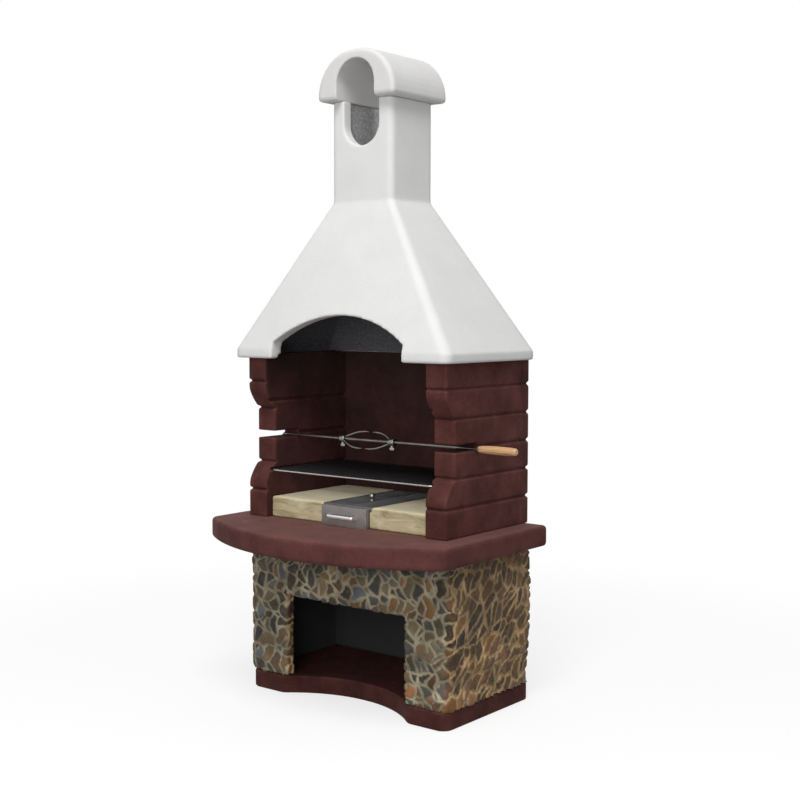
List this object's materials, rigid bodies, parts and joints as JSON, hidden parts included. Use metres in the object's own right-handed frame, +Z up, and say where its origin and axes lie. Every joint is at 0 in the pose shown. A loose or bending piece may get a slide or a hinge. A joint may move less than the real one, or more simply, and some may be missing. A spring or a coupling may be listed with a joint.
{
  "type": "masonry barbecue",
  "caption": "Free-standing outdoor masonry barbecue with log store, bowed mantel, coursed firebox, hood, chimney, spit, grill and ash drawer",
  "frame": {"origin": "On the floor, on the plinth's underside, below the middle of the firebox's width and depth", "axes": "+Z up along the height; -Y is the front with the log store, drawer and grill; +X is the cook's right, where the spit handle is"},
  "size_m": [1.0993, 0.7525, 2.2],
  "materials": {
    "plinth": "cast concrete, red-brown pigment, fine matt grain",
    "store_left_leg": "cast concrete with a rubble-stone face, painted stones and pale joints",
    "store_right_leg": "cast concrete with a rubble-stone face, painted stones and pale joints",
    "store_lintel": "cast concrete with a rubble-stone face, painted stones and pale joints",
    "store_back": "plain grey-brown cast concrete",
    "mantel_slab": "cast concrete, red-brown pigment, trowelled top and soft arrises",
    "left_side_panel": "refractory concrete, dark brown-red pigment, matt",
    "right_side_panel": "refractory concrete, dark brown-red pigment, matt",
    "back_panel": "refractory concrete, dark brown-red pigment, matt",
    "hearth_block_left": "pale yellow firebrick, fine-grained and matt",
    "hearth_block_right": "pale yellow firebrick, fine-grained and matt",
    "ash_drawer_tray": "folded mild steel sheet, dull grey",
    "ash_drawer_front": "folded steel sheet, dark grey heat-resistant paint",
    "ash_drawer_handle": "bent flat steel strip, chrome plated",
    "fire_grate": "cast iron, dark blue-grey, slightly rough",
    "grate_knob": "turned steel",
    "cooking_grill": "round steel wire, welded and chrome plated",
    "spit_rod": "drawn round steel bar",
    "spit_ferrule": "turned steel collar",
    "spit_handle": "turned beech, oiled",
    "fork_left": "steel hub with two bent prongs",
    "fork_right": "steel hub with two bent prongs",
    "fork_screw_left": "steel wing screw",
    "fork_screw_right": "steel wing screw",
    "hood": "cast refractory concrete under white masonry paint",
    "flue_column": "cast refractory concrete under white masonry paint",
    "chimney_cap": "cast refractory concrete under white masonry paint"
  },
  "bodies": {
    "masonry": {"plinth": "plinth", "store_left_leg": "store_left_leg", "store_right_leg": "store_right_leg", "store_lintel": "store_lintel", "store_back": "store_back", "mantel_slab": "mantel_slab", "left_side_panel": "left_side_panel", "right_side_panel": "right_side_panel", "back_panel": "back_panel", "hearth_block_left": "hearth_block_left", "hearth_block_right": "hearth_block_right", "hood": "hood", "flue_column": "flue_column", "chimney_cap": "chimney_cap"},
    "ash_drawer": {"ash_drawer_tray": "ash_drawer_tray", "ash_drawer_front": "ash_drawer_front", "ash_drawer_handle": "ash_drawer_handle"},
    "grate": {"fire_grate": "fire_grate", "grate_knob": "grate_knob"},
    "grill": {"cooking_grill": "cooking_grill"},
    "spit": {"spit_rod": "spit_rod", "spit_ferrule": "spit_ferrule", "spit_handle": "spit_handle"},
    "left_fork": {"fork_left": "fork_left"},
    "right_fork": {"fork_right": "fork_right"},
    "left_screw": {"fork_screw_left": "fork_screw_left"},
    "right_screw": {"fork_screw_right": "fork_screw_right"}
  },
  "joints": [
    {"name": "drawer_slide", "type": "slide", "parent": "masonry", "child": "ash_drawer", "axis": [0, -1, 0], "range_m": [0, 0.33]},
    {"name": "grill_slide", "type": "slide", "parent": "masonry", "child": "grill", "axis": [0, -1, 0], "range_m": [0, 0.3]},
    {"name": "grate_lift", "type": "slide", "parent": "masonry", "child": "grate", "axis": [0, 0, 1], "range_m": [0, 0.05]},
    {"name": "spit_spin", "type": "hinge", "parent": "masonry", "child": "spit", "pos_m": [0, -0.0755, 0.893], "axis": [1, 0, 0], "continuous": true},
    {"name": "left_fork_slide", "type": "slide", "parent": "spit", "child": "left_fork", "axis": [1, 0, 0], "range_m": [-0.18, 0.004]},
    {"name": "right_fork_slide", "type": "slide", "parent": "spit", "child": "right_fork", "axis": [1, 0, 0], "range_m": [-0.004, 0.24]},
    {"name": "left_screw_turn", "type": "hinge", "parent": "left_fork", "child": "left_screw", "pos_m": [-0.134, -0.0755, 0.893], "axis": [0, 0, 1], "continuous": true},
    {"name": "right_screw_turn", "type": "hinge", "parent": "right_fork", "child": "right_screw", "pos_m": [0.085, -0.0755, 0.893], "axis": [0, 0, 1], "continuous": true}
  ]
}
